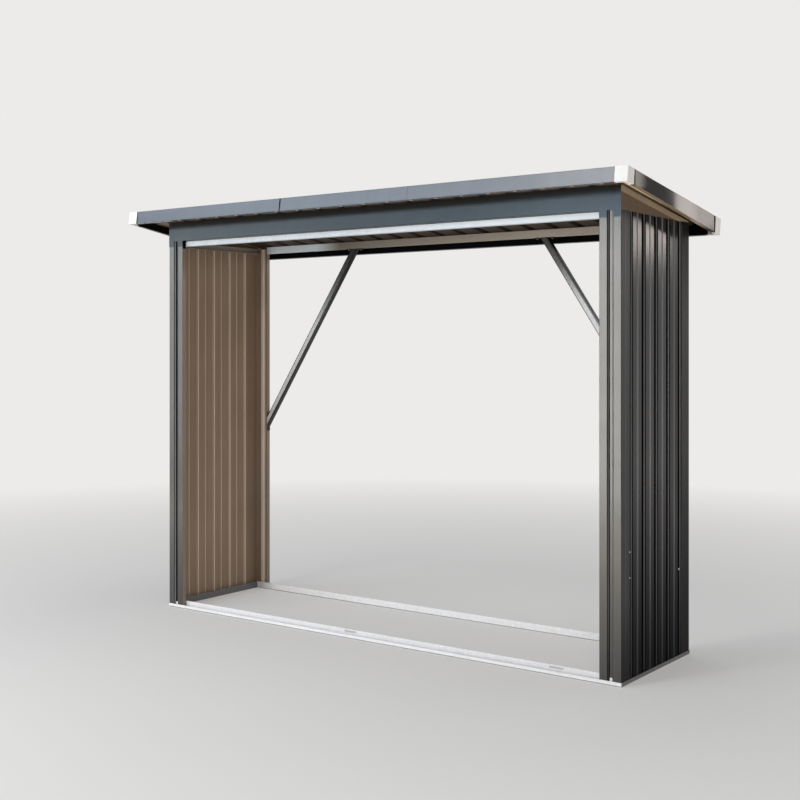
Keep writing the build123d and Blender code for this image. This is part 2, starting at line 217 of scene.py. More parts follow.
# Folds of the posts: the middle of the groove, and places in metres from that middle
GROOVE_X = 1.1047
GROOVE_FLOOR_HALF = 0.0060
GROOVE_CORNER = (GROOVE_FLOOR_HALF - 0.0006, GROOVE_FLOOR_HALF + FOLD_RIM)
GROOVE_SLOPE = (GROOVE_FLOOR_HALF + FOLD_RIM, GROOVE_FLOOR_HALF + 0.0046)
GROOVE_RIM = (GROOVE_FLOOR_HALF + 0.0046, GROOVE_FLOOR_HALF + 0.0066)
GROOVE_EDGE = (GROOVE_FLOOR_HALF + 0.0044, GROOVE_FLOOR_HALF + 0.0075)
LEG_LINE_Y = (-0.2222, -0.2180)
POST_HEAD = 1.652

# Gable plates: front end and fall of the top edge, and depths of the head and of its fold
GABLE_TOP = 1.7754
GABLE_FRONT_Y = -0.2546
GABLE_FALL = 0.1405
GABLE_HEAD_DEPTH = 0.019
GABLE_FOLD_DEPTH = 0.0225

# Gaps at the corner caps, where the side eaves begin, the painted contact shadow of the rails and the soil
# on the zinc
CAP_GAP_FRONT = (-0.3570, -0.3505)
CAP_GAP_REAR = (0.3440, 0.3570)
CAP_GAP_LEFT = (-1.1990, -1.1920)
EAVES_X = 1.140
CONTACT_SHADOW_HEIGHT = 0.0032
SOIL_HEIGHT = 0.04

# Face directions from which a side counts as the inner, lower, rear or outer one
INWARD = -0.4
DOWNWARD = -0.1
REARWARD = -0.2
SIDEWARD = 0.7

# Strengths of the marks: painted highlights, painted shade with the metallic and roughness it brings,
# splashes, dull patches, and the painted reflection band on the posts
BEAD_HIGHLIGHT = 0.62
SLOPE_HIGHLIGHT = 0.30
RIM_SHADE = 0.8
LEFT_POST_SHADE = 0.72
INNER_TRIM_SHADE = 0.88
RAIL_LINE_SHADE = 0.62
BRACE_EDGE_SHADE = 0.9
BRACE_HEAD_SHADE = 0.78
SHADE_METAL = 0.95
SHADE_ROUGHNESS = 0.6
SPLASH_ROUGHNESS = 0.1
DULL_ROUGHNESS = 0.4
SPLASH_FALL = 1.4
POST_REFLECTION = 0.44

# Both ends of the right brace, across and up, and its shaded edges from the middle line
BRACE_TOP = (0.510, 1.6617)
BRACE_FOOT = (1.0609, 0.830)
BRACE_OUTER_EDGE = 0.0070
BRACE_INNER_EDGE = -0.0108

# Screws and bolts, in metres, and the scales of three kinds of screw
SCREW_HEAD = 0.0050
SCREW_HEIGHT = 0.0030
WASHER = 0.0075
WASHER_HEIGHT = 0.0012
BOLT_HEAD = 0.0058
BOLT_HEIGHT = 0.0042
PROUD = 0.0001
WALL_SCREW_PLACES = ((0.0690, 0.468), (0.0690, 0.376), (0.4980, 0.345))
BOLT_SPREAD = 0.036
BRACE_TAB = 0.0016
BACK_SCREW_X = 1.0510
BACK_SCREW_RISE = 0.014
SIDE_SCREW_X = 1.1250
SIDE_SCREW_INSET = 0.025
ROOF_SCREW_ROWS = (0.19, 0.735)
WALL_SCREW_SCALE = 0.55
BEAM_SCREW_SCALE = 0.85
ROOF_SCREW_SCALE = 0.95

# Clips, dark strips of painted shadow in the trim joints and tabs, in metres, and the bevel as a share of
# the thinnest side
CLIP_WIDTH = 0.013
CLIP_DEPTH = 0.010
CLIP_HALF_SHEET = 0.0006
CLIP_HALF_DROP = 0.0018
CLIP_FOOT = (0.0075, 0.0007)
CLIP_LEG = (0.0030, 0.0022)
LEFT_JOINT_STRIP_HALF = 0.0036
RIGHT_JOINT_STRIP_HALF = 0.0006
JOINT_STRIP_HALF_DEPTH = 0.0002
JOINT_STRIP_INSET = 0.0015
TAB_HALF = (0.0050, 0.0007, 0.0110)
TAB_HEIGHT = 0.0145
TAB_INSET = 0.0075
BEVEL = 0.35

# Roof: its plane and its trims, and the ribs and laps of its sheets, in metres
ROOF_PITCH = math.radians(8.0)
ROOF_LENGTH = 0.82503
ROOF_FRONT = Vector((0, -0.40743, 1.79714))
FASCIA_TOP = 0.0196
FASCIA_DROP = 0.035
FASCIA_DROP_BACK = 0.045
FASCIA_JOINT = 0.326
CROWN = 0.0170
LAP_RISE = 0.0013
RIB_PITCH = 0.115
RIB_HALF_COUNT = 10
ACROSS = Vector((1, 0, 0))
DOWN_SLOPE = Vector((0, math.cos(ROOF_PITCH), -math.sin(ROOF_PITCH)))
ROOF_UP = Vector((0, math.sin(ROOF_PITCH), math.cos(ROOF_PITCH)))
ROOF_AXES = (ACROSS, DOWN_SLOPE, ROOF_UP)

# Floor, in metres, and its fade from the middle outwards
FLOOR_REACH = 40
FLOOR_FADE = (1.6, 6.0, 0.30, 1.0)

# Lamps: name, place, target, width and height, power and colour
LAMPS = (
    ("key", (-1.15, -4.6, 1.03), (0.6, -0.2, 1.01), (0.80, 2.05), 74, (1.0, 0.966, 0.920)),
    ("left", (-5.5, -4.6, 1.10), (-1.1, -0.2, 1.08), (1.3, 1.70), 32, (1.0, 0.97, 0.91)),
    ("strip", (-3.55, -4.6, 2.20), (-3.55, 0.0, 2.20), (6.1, 0.50), 73, (0.97, 1.03, 1.03)),
    ("sky", (-4.0, -4.6, 3.72), (0.0, -0.4, 1.7), (4.6, 0.7), 39, (0.76, 0.93, 1.12)),
    ("sky_middle", (-2.3, -4.6, 3.72), (0.0, -0.4, 1.7), (1.2, 0.7), 6, (0.90, 0.96, 1.04)),
    ("sky_right", (-0.7, -4.6, 3.72), (0.8, -0.4, 1.7), (1.7, 0.65), 36, (1.0, 0.97, 0.99)),
    ("fill", (4.1, -4.9, 1.5), (-0.6, 0.0, 1.1), (1.2, 1.6), 40, (1.0, 0.95, 0.90)),
    ("high_wall", (3.105, 4.2, 1.995), (3.105, 0.0, 1.995), (0.27, 0.17), 4.5, (1.0, 0.87, 0.79)),
    ("high_trim", (2.885, 4.2, 2.23), (2.885, 0.0, 2.23), (0.44, 0.34), 4.8, (1.0, 0.90, 0.86)),
    ("high_spot", (3.44, 4.2, 2.49), (3.44, 0.0, 2.49), (0.16, 0.22), 0.75, (1.0, 0.92, 0.86)),
    ("bounce", (2.3, 0.0, 0.06), (2.3, 0.0, 3.0), (0.8, 1.2), 19, (1.0, 0.86, 0.72)),
    ("top", (0.3, 0.6, 4.8), (0.0, 0.0, 1.2), (4.0, 2.5), 36, (0.93, 0.96, 1.0)),
)

# The one lamp that no surface mirrors
NOT_MIRRORED = "bounce"


# Shader helpers
def new_material(name):
    material = bpy.data.materials.new(name)
    material.use_nodes = True
    tree = material.node_tree
    shader = tree.nodes["Principled BSDF"]
    return material, tree, shader


def add_node(tree, kind, **values):
    node = tree.nodes.new(kind)
    for key, value in values.items():
        setattr(node, key, value)
    return node


def coordinates(tree, scale=(1, 1, 1)):
    source = add_node(tree, "ShaderNodeTexCoord")
    mapping = add_node(tree, "ShaderNodeMapping")
    mapping.inputs["Scale"].default_value = scale
    tree.links.new(source.outputs["Object"], mapping.inputs["Vector"])
    return mapping.outputs["Vector"]


def noise(tree, scale, detail, stretch, roughness=0.5):
    """Noise in the coordinates of the store, stretched along the axes."""
    texture = add_node(tree, "ShaderNodeTexNoise")
    texture.inputs["Scale"].default_value = scale
    texture.inputs["Detail"].default_value = detail
    texture.inputs["Roughness"].default_value = roughness
    tree.links.new(coordinates(tree, stretch), texture.inputs["Vector"])
    return texture.outputs["Fac"]


def remap(tree, value, low, high, out_low, out_high):
    node = add_node(tree, "ShaderNodeMapRange")
    node.inputs["From Min"].default_value = low
    node.inputs["From Max"].default_value = high
    node.inputs["To Min"].default_value = out_low
    node.inputs["To Max"].default_value = out_high
    tree.links.new(value, node.inputs["Value"])
    return node.outputs["Result"]


def cloud(tree, scale, detail, ramp, stretch=(1, 1, 1), roughness=0.5):
    """Noise passed through a ramp."""
    return remap(tree, noise(tree, scale, detail, stretch, roughness), *ramp)


def math_node(tree, operation, first, second):
    node = add_node(tree, "ShaderNodeMath", operation=operation)
    for socket, value in zip(node.inputs, (first, second)):
        if isinstance(value, (int, float)):
            socket.default_value = value
        else:
            tree.links.new(value, socket)
    return node.outputs["Value"]


def both(tree, first, second):
    """Product: where both masks hold, or one mask at a lower strength."""
    return math_node(tree, "MULTIPLY", first, second)


def either(tree, first, second):
    """The stronger of two masks."""
    return math_node(tree, "MAXIMUM", first, second)


def plus(tree, first, second):
    return math_node(tree, "ADD", first, second)


def minus(tree, first, second):
    return math_node(tree, "SUBTRACT", first, second)


def above(tree, value, limit):
    return math_node(tree, "GREATER_THAN", value, limit)


def below(tree, value, limit):
    return math_node(tree, "LESS_THAN", value, limit)


def sign(tree, value):
    return math_node(tree, "SIGN", value, 0)


def distance(tree, value):
    return math_node(tree, "ABSOLUTE", value, 0)


def band(tree, value, low, high):
    """1 where the value lies between low and high."""
    return both(tree, above(tree, value, low), below(tree, value, high))


def mix_colour(tree, factor, first, second, blend="MIX"):
    node = add_node(tree, "ShaderNodeMix", data_type="RGBA", blend_type=blend)
    for socket, value in ((node.inputs[0], factor), (node.inputs[6], first), (node.inputs[7], second)):
        if isinstance(value, (int, float)):
            socket.default_value = value
        elif isinstance(value, tuple):
            socket.default_value = value + (1.0,)
        else:
            tree.links.new(value, socket)
    return node.outputs[2]


def bump(tree, shader, layers, stretch=(1, 1, 1)):
    """Chains bump nodes, one for each layer of noise."""
    last = None
    for scale, detail, strength, depth in layers:
        node = add_node(tree, "ShaderNodeBump")
        node.inputs["Strength"].default_value = strength
        node.inputs["Distance"].default_value = depth
        tree.links.new(noise(tree, scale, detail, stretch), node.inputs["Height"])
        if last is not None:
            tree.links.new(last, node.inputs["Normal"])
        last = node.outputs["Normal"]
    tree.links.new(last, shader.inputs["Normal"])


def place_axes(tree):
    """Coordinates of the shaded point in the frame of the store."""
    place = add_node(tree, "ShaderNodeTexCoord")
    split = add_node(tree, "ShaderNodeSeparateXYZ")
    tree.links.new(place.outputs["Object"], split.inputs["Vector"])
    return split.outputs["X"], split.outputs["Y"], split.outputs["Z"]


def facing(tree, axis, output="True Normal"):
    """How far a face looks along one axis."""
    geometry = add_node(tree, "ShaderNodeNewGeometry")
    split = add_node(tree, "ShaderNodeSeparateXYZ")
    tree.links.new(geometry.outputs[output], split.inputs["Vector"])
    return split.outputs[axis]


# Face directions and masks of the inner sides, which take the backing coat with its painted bounce light,
# and on the trims painted shade
def outward(tree, axis):
    """How far a face looks away from the middle of the store along one axis."""
    place = place_axes(tree)["XY".index(axis)]
    return both(tree, sign(tree, place), facing(tree, axis))


def one_way(tree):
    """1 on faces that look across into the store, 0 on the others."""
    return below(tree, outward(tree, "X"), INWARD)


def two_way(tree):
    """1 on faces that look into the store across or along its depth."""
    return below(tree, plus(tree, outward(tree, "X"), outward(tree, "Y")), INWARD)


def under_side(tree):
    return below(tree, facing(tree, "Z"), DOWNWARD)


# Marks: pairs of a colour and a mask, given the mask of the inner sides
def wall_folds(tree, inner):
    """Painted highlights on the edges of ribs and beads and on the rib flanks, painted shade in the folds,
    at the foot, on the last bay and towards the rear.
    """
    _, along, height = place_axes(tree)
    steps = math_node(tree, "DIVIDE", minus(tree, along, FIRST_RIB_Y), RIB_STEP)
    rib = both(tree, minus(tree, steps, math_node(tree, "ROUND", steps, 0)), RIB_STEP)
    bead = both(tree, minus(tree, math_node(tree, "FRACT", steps, 0), 0.5), RIB_STEP)
    before_last = below(tree, along, LAST_FOLD_Y)
    outer = minus(tree, 1.0, inner)
    bead_crest = both(tree, band(tree, bead, *BEAD_CREST), BEAD_HIGHLIGHT)
    crest = either(tree, band(tree, rib, *RIB_CREST), bead_crest)
    slope = both(tree, band(tree, rib, *RIB_SLOPE), SLOPE_HIGHLIGHT)
    light = both(tree, both(tree, either(tree, crest, slope), inner), before_last)
    reach = distance(tree, rib)
    edge = either(tree, band(tree, reach, *RIB_FLANK), band(tree, bead, *BEAD_EDGE))
    edge = both(tree, both(tree, edge, outer), before_last)
    folds = either(tree, below(tree, reach, RIB_FLANK[0]), band(tree, reach, *RIB_LIP))
    foot = remap(tree, height, *WALL_FOOT)
    last_bay = remap(tree, along, *WALL_LAST_BAY)
    shade_mask = either(tree, folds, either(tree, foot, last_bay))
    return (
        (FOLD_HIGHLIGHT, light),
        (WALL_SHADE, both(tree, remap(tree, along, *WALL_REAR), outer)),
        (FLANK_HIGHLIGHT, edge),
        (PAINTED_SHADE, both(tree, shade_mask, outer)),
    )


def leg_shade(tree, y, z):
    """Shade on the side legs of the front and the rear posts, by height."""
    front = either(tree, remap(tree, z, *FRONT_LEG_FOOT), remap(tree, z, *FRONT_LEG_HEAD))
    rear = either(tree, remap(tree, z, *REAR_LEG_FOOT), remap(tree, z, *REAR_LEG_HEAD))
    return plus(tree, both(tree, front, below(tree, y, 0.0)), both(tree, rear, above(tree, y, 0.0)))


def post_folds(tree, inner):
    """Painted shade on the side legs, in the corners of the groove and at the inner head of the front
    posts, and painted highlights on the slopes of the groove and along the legs.
    """
    x, y, z = place_axes(tree)
    reach = distance(tree, minus(tree, distance(tree, x), GROOVE_X))
    along = outward(tree, "Y")
    outer = above(tree, along, 0.0)
    back = below(tree, along, REARWARD)
    leg = above(tree, outward(tree, "X"), SIDEWARD)
    line = both(tree, band(tree, y, *LEG_LINE_Y), leg)
    front_head = both(tree, above(tree, z, POST_HEAD), below(tree, y, 0.0))
    shade = either(tree, both(tree, leg_shade(tree, y, z), leg), both(tree, front_head, inner))
    slope = band(tree, reach, *GROOVE_SLOPE)
    rim = both(tree, band(tree, reach, *GROOVE_RIM), RIM_SHADE)
    floor_and_edge = either(tree, below(tree, reach, GROOVE_SLOPE[0]), band(tree, reach, *GROOVE_EDGE))
    left_post = both(tree, below(tree, x, 0.0), LEFT_POST_SHADE)
    corner = either(tree, band(tree, reach, *GROOVE_CORNER), both(tree, floor_and_edge, left_post))
    return (
        (POST_SIDE_SHADE, leg),
        (LEG_HIGHLIGHT, line),
        (FOLD_HIGHLIGHT, both(tree, either(tree, corner, slope), back)),
        (GROOVE_HIGHLIGHT, both(tree, slope, outer)),
        (PAINTED_SHADE, either(tree, shade, both(tree, either(tree, corner, rim), outer))),
    )


def side_trim_ends(tree, inner):
    """Painted shadow in the gaps at the corner caps, and painted shade on the rear ends of the face and the
    lower return.
    """
    along = place_axes(tree)[1]
    gaps = either(tree, band(tree, along, *CAP_GAP_FRONT), band(tree, along, *CAP_GAP_REAR))
    lower = both(tree, remap(tree, along, *RETURN_REAR), inner)
    face = both(tree, remap(tree, along, *SIDE_TRIM_REAR), minus(tree, 1.0, inner))
    return ((PAINTED_SHADE, either(tree, gaps, either(tree, lower, face))),)


def front_trim_ends(tree, inner):
    """Painted shadow in the gap at the left corner caps, and painted shade on the inner side."""
    gap = band(tree, place_axes(tree)[0], *CAP_GAP_LEFT)
    return ((PAINTED_SHADE, either(tree, both(tree, inner, INNER_TRIM_SHADE), gap)),)


def gable_tones(tree, inner):
    """Painted light on the head of the gable plate, with a painted highlight along the fold below it."""
    _, y, z = place_axes(tree)
    top = minus(tree, GABLE_TOP, both(tree, minus(tree, y, GABLE_FRONT_Y), GABLE_FALL))
    depth = minus(tree, top, z)
    outer = minus(tree, 1.0, inner)
    return (
        (GABLE_HEAD_LIT, both(tree, below(tree, depth, GABLE_HEAD_DEPTH), outer)),
        (GABLE_FOLD_HIGHLIGHT, both(tree, band(tree, depth, GABLE_HEAD_DEPTH, GABLE_FOLD_DEPTH), outer)),
    )


def eaves(tree, inner):
    """Painted bounce light under the sides of the roof, stronger to the right, and painted shade towards
    its rear edge.
    """
    across, along, _ = place_axes(tree)
    sides = above(tree, distance(tree, across), EAVES_X)
    bounce_lit = both(tree, sides, remap(tree, across, *EAVES_ACROSS))
    rear = both(tree, remap(tree, along, *ROOF_REAR), minus(tree, 1.0, sides))
    return ((EAVES_BOUNCE_LIGHT, both(tree, bounce_lit, inner)), (PAINTED_SHADE, both(tree, rear, inner)))


def back_beam_tones(tree, inner):
    """Painted reflections on the rear channel: darker and warmer towards the left, blue at its left end."""
    across = place_axes(tree)[0]
    return (
        (DARK_WARM_REFLECTION, remap(tree, across, *BACK_BEAM_DARK_REFLECTION)),
        (BLUE_REFLECTION, remap(tree, across, *BACK_BEAM_BLUE_REFLECTION)),
    )


def front_beam_tones(tree, inner):
    """Lighter zinc towards the right end of the front channel."""
    return ((LIGHTER_ZINC, remap(tree, place_axes(tree)[0], *FRONT_BEAM_LIGHTER)),)


def rail_line(tree, inner):
    """Painted contact shadow: a dark line where a base rail meets the ground."""
    return ((PAINTED_SHADE, both(tree, below(tree, place_axes(tree)[2], CONTACT_SHADOW_HEIGHT), RAIL_LINE_SHADE)),)


def brace_tones(tree, inner):
    """Painted shade on the long edges of a brace and on its upper end."""
    x, _, z = place_axes(tree)
    run = BRACE_FOOT[0] - BRACE_TOP[0]
    drop = BRACE_TOP[1] - BRACE_FOOT[1]
    length = math.hypot(run, drop)
    out = both(tree, minus(tree, distance(tree, x), BRACE_TOP[0]), drop / length)
    out = plus(tree, out, both(tree, minus(tree, z, BRACE_TOP[1]), run / length))
    out = both(tree, out, sign(tree, x))
    edges = either(tree, above(tree, out, BRACE_OUTER_EDGE), below(tree, out, BRACE_INNER_EDGE))
    upper = remap(tree, z, *BRACE_HEAD)
    shade_mask = either(tree, both(tree, edges, BRACE_EDGE_SHADE), both(tree, upper, BRACE_HEAD_SHADE))
    return ((BRACE_SHADE, upper), (PAINTED_SHADE, shade_mask))


def apply_marks(tree, shader, coat, marks):
    """Lays marks over a coat; painted shade takes the gloss away."""
    dull = 0.0
    for colour, mask in marks:
        coat = mix_colour(tree, mask, coat, colour)
        if colour == PAINTED_SHADE:
            dull = mask
            tree.links.new(both(tree, mask, SHADE_METAL), shader.inputs["Metallic"])
    return coat, dull


# Materials
def paint(name, colour, specular, roughness, backing=None, inner_coat_and_shade=BACK_COAT_WITH_BOUNCE, marks=None,
          dirt=0.10, reflection_band=0.0, sheen=PLAIN_SHEEN):
    """Coil-coated sheet: faint mottling, rain streaks, splashes at the foot, dust, and a painted reflection
    band at mid height where asked.
    """
    material, tree, shader = new_material(name)
    height = place_axes(tree)[2]
    coat = colour
    inner = 0.0
    dull = 0.0
    if backing is not None:
        inner = backing(tree)
        coat = mix_colour(tree, inner, colour, inner_coat_and_shade)
    # Painted reflection: a lighter band at mid height, stronger to the right
    if reflection_band:
        reflection_mask = both(tree, remap(tree, height, *REFLECTION_RISE), remap(tree, height, *REFLECTION_FALL))
        reflection_mask = both(tree, reflection_mask, remap(tree, place_axes(tree)[0], *REFLECTION_ACROSS))
        coat = mix_colour(tree, both(tree, reflection_mask, reflection_band), coat, GROUND_REFLECTION)
    if marks is not None:
        coat, dull = apply_marks(tree, shader, coat, marks(tree, inner))
    shade = both(tree, cloud(tree, *MOTTLE), cloud(tree, *RAIN_STREAKS, RAIN_STRETCH))
    grey = add_node(tree, "ShaderNodeCombineColor")
    for socket in grey.inputs:
        tree.links.new(shade, socket)
    base = mix_colour(tree, 1.0, coat, grey.outputs["Color"], "MULTIPLY")
    foot = math_node(tree, "POWER", remap(tree, height, *SPLASH_HEIGHT), SPLASH_FALL)
    film = both(tree, foot, cloud(tree, *SPLASHES, SPLASH_STRETCH, SPLASH_FINENESS))
    soiled = mix_colour(tree, both(tree, film, dirt), base, DUST)
    up = facing(tree, "Z", "Normal")
    settled = both(tree, remap(tree, up, *DUST_ON_TOP), cloud(tree, *SETTLED_DUST))
    tree.links.new(mix_colour(tree, settled, soiled, DUST), shader.inputs["Base Color"])
    low, high = PAINT_GLOSS_SPREAD
    rough = cloud(tree, *PAINT_GLOSS, (*PAINT_GLOSS_VALUES, roughness + low, roughness + high))
    rough = plus(tree, rough, both(tree, film, SPLASH_ROUGHNESS))
    rough = plus(tree, rough, both(tree, dull, SHADE_ROUGHNESS))
    tree.links.new(rough, shader.inputs["Roughness"])
    shader.inputs["Specular IOR Level"].default_value = specular
    shader.inputs["Specular Tint"].default_value = sheen + (1.0,)
    bump(tree, shader, (SHEET_WAVES, PAINT_GRAIN))
    return material


def zinc(name, bright, dark, metal, roughness, stain, soil=0.45, marks=None):
    """Hot-dip galvanised sheet with faint spangle, dull patches, soil at the foot, and the given marks,
    mostly painted shade and reflections.
    """
    material, tree, shader = new_material(name)
    cells = add_node(tree, "ShaderNodeTexVoronoi", feature="F1")
    cells.inputs["Scale"].default_value = SPANGLE_SCALE
    tree.links.new(coordinates(tree), cells.inputs["Vector"])
    spangle = add_node(tree, "ShaderNodeSeparateColor")
    tree.links.new(cells.outputs["Color"], spangle.inputs["Color"])
    flake = spangle.outputs["Red"]
    base = mix_colour(tree, remap(tree, flake, 0.0, 1.0, 0.0, FLAKE_DEPTH), bright, dark)
    shader.inputs["Metallic"].default_value = metal
    if marks is not None:
        base = apply_marks(tree, shader, base, marks(tree, 0.0))[0]
    dull = cloud(tree, *DULL_PATCHES, (*DULL_VALUES, 0.0, stain), roughness=DULL_FINENESS)
    height = place_axes(tree)[2]
    foot = both(tree, remap(tree, height, 0.0, SOIL_HEIGHT, soil, 0.0), cloud(tree, *RAIL_SOIL))
    soiled = mix_colour(tree, foot, mix_colour(tree, dull, base, DUST), GROUND_DIRT)
    tree.links.new(soiled, shader.inputs["Base Color"])
    low, high = FLAKE_GLOSS_SPREAD
    rough = remap(tree, flake, 0.0, 1.0, roughness + low, roughness + high)
    rough = plus(tree, rough, both(tree, dull, DULL_ROUGHNESS))
    tree.links.new(rough, shader.inputs["Roughness"])
    bump(tree, shader, (ZINC_GRAIN,), ZINC_STRETCH)
    return material


def moulded_plastic(name, colour):
    """Matt moulded corner piece with a fine grain and patches of dirt."""
    material, tree, shader = new_material(name)
    stained = mix_colour(tree, cloud(tree, *CAP_STAIN), colour, CAP_DIRT)
    tree.links.new(stained, shader.inputs["Base Color"])
    tree.links.new(cloud(tree, *CAP_GLOSS), shader.inputs["Roughness"])
    shader.inputs["Specular IOR Level"].default_value = CAP_SPECULAR
    bump(tree, shader, (PLASTIC_GRAIN,))
    return material


header_paint = paint("header_paint", HEADER_COAT_AND_SHADE, specular=0.26, roughness=0.22, sheen=HEADER_SKY_TINT)
# The inner sides of the front and back trims take painted shade as their coat
front_trim_paint = paint("front_trim_paint", TRIM_SKY_LIT_COAT, specular=0.65, roughness=0.25,
                         backing=two_way, inner_coat_and_shade=PAINTED_SHADE, marks=front_trim_ends)
back_trim_paint = paint("back_trim_paint", TRIM_SKY_LIT_COAT, specular=0.20, roughness=0.25,
                        backing=two_way, inner_coat_and_shade=PAINTED_SHADE, marks=front_trim_ends)
side_trim_paint = paint("side_trim_paint", SIDE_TRIM_SHADED_COAT, specular=0.06, roughness=0.036,
                        backing=under_side, inner_coat_and_shade=RETURN_BOUNCE_LIGHT, marks=side_trim_ends, sheen=NO_SHEEN)
roof_paint = paint("roof_paint", ANTHRACITE, specular=0.35, roughness=0.38,
                   backing=under_side, inner_coat_and_shade=ROOF_BACK_SHADED, marks=eaves)
post_paint = paint("post_paint", ANTHRACITE, specular=0.40, roughness=0.21,
                   backing=two_way, marks=post_folds, reflection_band=POST_REFLECTION)
wall_sheet_paint = paint("wall_sheet_paint", WALL_COAT, specular=0.17, roughness=0.21,
                         backing=one_way, inner_coat_and_shade=WALL_BACK_WITH_BOUNCE, marks=wall_folds, dirt=0.05, sheen=NO_SHEEN)
gable_paint = paint("gable_paint", GABLE_BOUNCE_LIT_COAT, specular=0.10, roughness=0.35,
                    backing=one_way, marks=gable_tones)
rail_zinc = zinc("rail_zinc", RAIL_ZINC, RAIL_ZINC_DARK, metal=0.10, roughness=0.36,
                 stain=0.06, soil=0.10, marks=rail_line)
side_rail_zinc = zinc("side_rail_zinc", SIDE_RAIL_SHADED_ZINC, SIDE_RAIL_SHADED_ZINC_DARK, metal=0.10, roughness=0.40,
                      stain=0.06, soil=0.15)
beam_zinc = zinc("beam_zinc", BEAM_ZINC, BEAM_ZINC_DARK, metal=0.06, roughness=0.45,
                 stain=0.12, marks=front_beam_tones)
side_beam_zinc = zinc("side_beam_zinc", SIDE_BEAM_WARM_LIT_ZINC, SIDE_BEAM_WARM_LIT_ZINC_DARK, metal=0.06, roughness=0.45,
                      stain=0.12)
back_beam_zinc = zinc("back_beam_zinc", BACK_BEAM_WARM_LIT_ZINC, BACK_BEAM_WARM_LIT_ZINC_DARK, metal=0.06, roughness=0.45,
                      stain=0.12, marks=back_beam_tones)
brace_zinc = zinc("brace_zinc", BRACE_ZINC, BRACE_ZINC_DARK, metal=0.15, roughness=0.36,
                  stain=0.06, marks=brace_tones)
cap_plastic = moulded_plastic("cap_plastic", CAP_WHITE)
screw_zinc = zinc("screw_zinc", SCREW_ZINC, SCREW_ZINC_DARK, metal=0.5, roughness=0.32, stain=0.1)
clip_steel = zinc("clip_steel", CLIP_GREY, CLIP_GREY_DARK, metal=0.1, roughness=0.5, stain=0.1)
screw_paint = paint("screw_paint", ANTHRACITE, specular=0.4, roughness=0.34)
joint_shadow_paint = paint("joint_shadow_paint", JOINT_SHADOW, specular=0.1, roughness=0.6)

NODE_MATERIALS = (
    ("header_board", header_paint),
    ("fascia_left", side_trim_paint),
    ("fascia_right", side_trim_paint),
    ("fascia_front", front_trim_paint),
    ("fascia_back", back_trim_paint),
    ("roof_sheet_", roof_paint),
    ("gable_plate_", gable_paint),
    ("post_", post_paint),
    ("wall_sheet_", wall_sheet_paint),
    ("top_beam_left", side_beam_zinc),
    ("top_beam_right", side_beam_zinc),
    ("top_beam_back", back_beam_zinc),
    ("top_beam_front", beam_zinc),
    ("base_rail_left", side_rail_zinc),
    ("base_rail_right", side_rail_zinc),
    ("base_rail_", rail_zinc),
    ("back_brace_", brace_zinc),
    ("corner_cap_", cap_plastic),
)

for name, piece in nodes.items():
    material = next(m for start, m in NODE_MATERIALS if name.startswith(start))
    piece.data.materials.clear()
    piece.data.materials.append(material)


# Small parts, built as joined meshes
def link_object(name, data):
    made = bpy.data.objects.new(name, data)
    bpy.context.scene.collection.objects.link(made)
    return made


def mesh_object(name, bm, material):
    mesh = bpy.data.meshes.new(name)
    bm.to_mesh(mesh)
    bm.free()
    mesh.materials.append(material)
    piece = link_object(name, mesh)
    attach(piece, "root")
    return piece


def turned(bm, profile, place, axis, sides=16, start=0.0):
    """A turned form: profile lists radius and height along the axis."""
    matrix = Matrix.Translation(place) @ axis.to_track_quat("Z", "Y").to_matrix().to_4x4()
    rings = []
    for radius, height in profile:
        ring = []
        for k in range(sides):
            angle = start + 2 * math.pi * k / sides
            point = Vector((radius * math.cos(angle), radius * math.sin(angle), height))
            ring.append(bm.verts.new(matrix @ point))
        rings.append(ring)
    for low, high in zip(rings, rings[1:]):
        for k in range(sides):
            bm.faces.new((low[k], low[(k + 1) % sides], high[(k + 1) % sides], high[k]))
    bm.faces.new(rings[-1])
    bm.faces.new(list(reversed(rings[0])))


def pan_screw(bm, place, axis, scale):
    """Washer-faced pan head with a shallow recess."""
    washer = WASHER * scale
    head = SCREW_HEAD * scale
    height = SCREW_HEIGHT * scale
    profile = [
        (washer, 0),
        (washer, WASHER_HEIGHT * 0.7),
        (washer * 0.9, WASHER_HEIGHT),
        (head, WASHER_HEIGHT),
        (head * 0.97, WASHER_HEIGHT + height * 0.4),
        (head * 0.8, WASHER_HEIGHT + height * 0.8),
        (head * 0.45, WASHER_HEIGHT + height),
        (head * 0.3, WASHER_HEIGHT + height * 0.6),
    ]
    turned(bm, profile, place, axis)


def hex_bolt(bm, place, axis):
    """Hexagon head on a flat washer, turned by a random angle."""
    turned(bm, [(WASHER, 0), (WASHER, WASHER_HEIGHT)], place, axis, 20)
    head = [(BOLT_HEAD, 0), (BOLT_HEAD, BOLT_HEIGHT * 0.85), (BOLT_HEAD * 0.86, BOLT_HEIGHT)]
    turned(bm, head, place + axis * WASHER_HEIGHT, axis, 6, random.random())


def screws(name, places, material, scale):
    bm = bmesh.new()
    for place, axis in places:
        pan_screw(bm, Vector(place), Vector(axis).normalized(), scale)
    return mesh_object(name, bm, material)


def on_roof(x, along, up):
    """A point given across, down the slope and square to the roof."""
    return ROOF_FRONT + Vector((x, 0, 0)) + DOWN_SLOPE * along + ROOF_UP * up


def block(bm, centre, axes, half):
    """A bevelled block in its own axes."""
    made = bmesh.ops.create_cube(bm, size=2)["verts"]
    for vert in made:
        local = vert.co.copy()
        vert.co = Vector(centre) + sum((axes[k] * (local[k] * half[k]) for k in range(3)), Vector())
    edges = {edge for vert in made for edge in vert.link_edges}
    bmesh.ops.bevel(bm, geom=list(edges), offset=min(half) * BEVEL, segments=2, affect="EDGES", profile=0.5)


